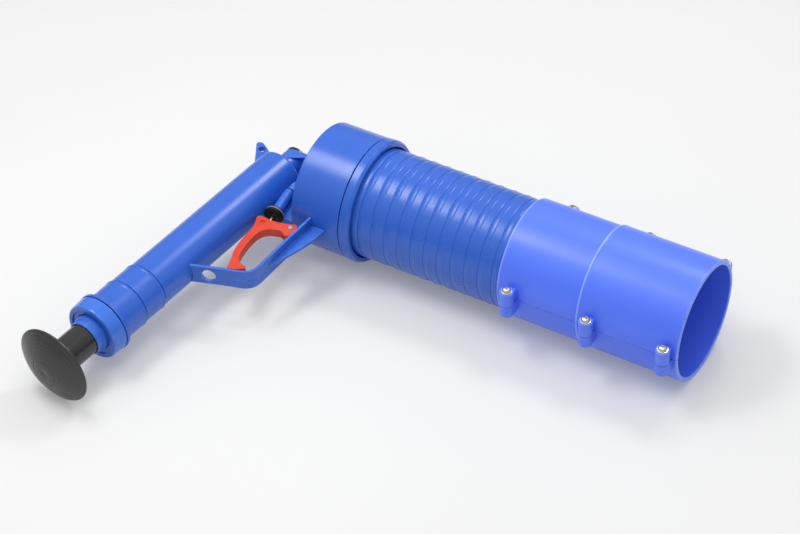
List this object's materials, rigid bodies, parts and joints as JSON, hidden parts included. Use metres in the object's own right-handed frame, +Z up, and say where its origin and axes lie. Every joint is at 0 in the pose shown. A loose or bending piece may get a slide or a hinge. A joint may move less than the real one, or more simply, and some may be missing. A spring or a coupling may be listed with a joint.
{
  "type": "hand-pumped air drain blaster",
  "caption": "Pistol-shaped hand-pumped air gun for clearing drains: pump grip with knob, trigger valve, rear drum, ribbed barrel and a bolted two-half muzzle sleeve.",
  "frame": {"origin": "Middle of the footprint: the centre of the bottom face of the bounding box, on the surface the tool lies on", "axes": "+Z up with the tool lying on its side; +X along the barrel towards the muzzle, in the horizontal plane; the pump points towards -Y"},
  "size_m": [0.4526, 0.3564, 0.1059],
  "materials": {
    "royal_blue_plastic": "semi-gloss moulded",
    "violet_blue_plastic": "satin moulded",
    "orange_red_plastic": "satin moulded",
    "charcoal_plastic": "satin moulded",
    "bright_steel": "polished",
    "brass_stem": "turned",
    "black_rubber": "matt",
    "pale_rubber": "translucent grey"
  },
  "bodies": {
    "body": {"rear_housing": "royal_blue_plastic", "union_collar": "royal_blue_plastic", "ribbed_barrel": "royal_blue_plastic", "housing_oring": "black_rubber", "outlet_tube": "charcoal_plastic", "barrel_plug": "royal_blue_plastic", "plug_oring": "black_rubber", "release_spring": "bright_steel", "sleeve_upper": "violet_blue_plastic", "sleeve_lower": "violet_blue_plastic", "washer_near_1": "bright_steel", "screw_near_1": "bright_steel", "nut_near_1": "bright_steel", "washer_far_1": "bright_steel", "screw_far_1": "bright_steel", "nut_far_1": "bright_steel", "washer_near_2": "bright_steel", "screw_near_2": "bright_steel", "nut_near_2": "bright_steel", "washer_far_2": "bright_steel", "screw_far_2": "bright_steel", "nut_far_2": "bright_steel", "washer_near_3": "bright_steel", "screw_near_3": "bright_steel", "nut_near_3": "bright_steel", "washer_far_3": "bright_steel", "screw_far_3": "bright_steel", "nut_far_3": "bright_steel", "grip_tube": "royal_blue_plastic", "pump_end_cap": "royal_blue_plastic", "gland_collar": "royal_blue_plastic", "check_valve_housing": "royal_blue_plastic", "check_valve_cap": "charcoal_plastic", "check_spring": "bright_steel", "transfer_duct": "royal_blue_plastic", "valve_tube": "royal_blue_plastic", "valve_cap_nut": "charcoal_plastic", "valve_oring": "pale_rubber", "valve_spring": "bright_steel", "trigger_pin": "bright_steel", "trigger_guard": "royal_blue_plastic"},
    "pump_plunger": {"pump_knob": "charcoal_plastic", "pump_rod": "charcoal_plastic", "pump_piston": "charcoal_plastic", "piston_cup_seal": "black_rubber", "piston_screw": "bright_steel", "piston_nut": "bright_steel"},
    "trigger_lever": {"trigger": "orange_red_plastic"},
    "valve_plunger": {"valve_stem": "brass_stem"},
    "release_slider": {"release_piston": "charcoal_plastic", "release_piston_oring": "black_rubber", "release_pad": "black_rubber"},
    "check_plunger": {"check_poppet": "black_rubber"}
  },
  "joints": [
    {"name": "pump_slide", "type": "slide", "parent": "body", "child": "pump_plunger", "axis": [-0.1046, -0.992, -0.071], "range_m": [-0.012, 0.17]},
    {"name": "trigger_hinge", "type": "hinge", "parent": "body", "child": "trigger_lever", "pos_m": [-0.11565, 0.0522, 0.04866], "axis": [-0.0103, 0.0725, -0.9973], "range_deg": [0, 9]},
    {"name": "valve_slide", "type": "slide", "parent": "body", "child": "valve_plunger", "axis": [-0.1557, 0.9851, 0.0732], "range_m": [0, 0.0035], "deforming": ["valve_spring"]},
    {"name": "release_slide", "type": "slide", "parent": "body", "child": "release_slider", "axis": [-0.9999, 0, 0.0104], "range_m": [0, 0.005], "deforming": ["release_spring"]},
    {"name": "check_slide", "type": "slide", "parent": "body", "child": "check_plunger", "axis": [0.1046, 0.992, 0.071], "range_m": [0, 0.003], "deforming": ["check_spring"]}
  ],
  "couplings": [
    {"joint": "valve_slide", "follows": "trigger_hinge", "m_per_rad": 0.0215}
  ]
}
